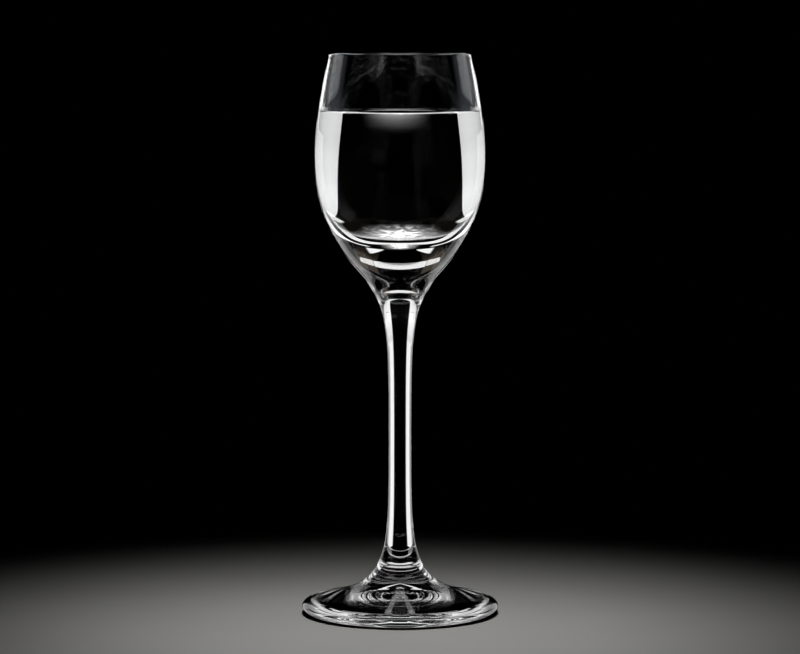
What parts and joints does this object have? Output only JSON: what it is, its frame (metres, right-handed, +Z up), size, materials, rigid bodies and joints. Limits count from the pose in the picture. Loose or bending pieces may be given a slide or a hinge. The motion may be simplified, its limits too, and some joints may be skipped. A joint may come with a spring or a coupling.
{
  "type": "cordial glass",
  "caption": "Clear stemmed cordial glass: ovoid bowl with a thick heel on a slim flared stem and a wide foot with a rounded rim, part filled with a clear drink.",
  "frame": {"origin": "centre of the circle that the foot's resting ring makes on the table", "axes": "+Z up along the glass's axis of revolution, X and Y level in the table's plane"},
  "size_m": [0.0562, 0.0562, 0.16],
  "materials": {
    "clear_glass": "clear, polished, colourless",
    "clear_cordial": "clear still liquid"
  },
  "bodies": {
    "root": {"bowl": "clear_glass", "stem": "clear_glass", "foot": "clear_glass", "drink": "clear_cordial"}
  },
  "joints": []
}
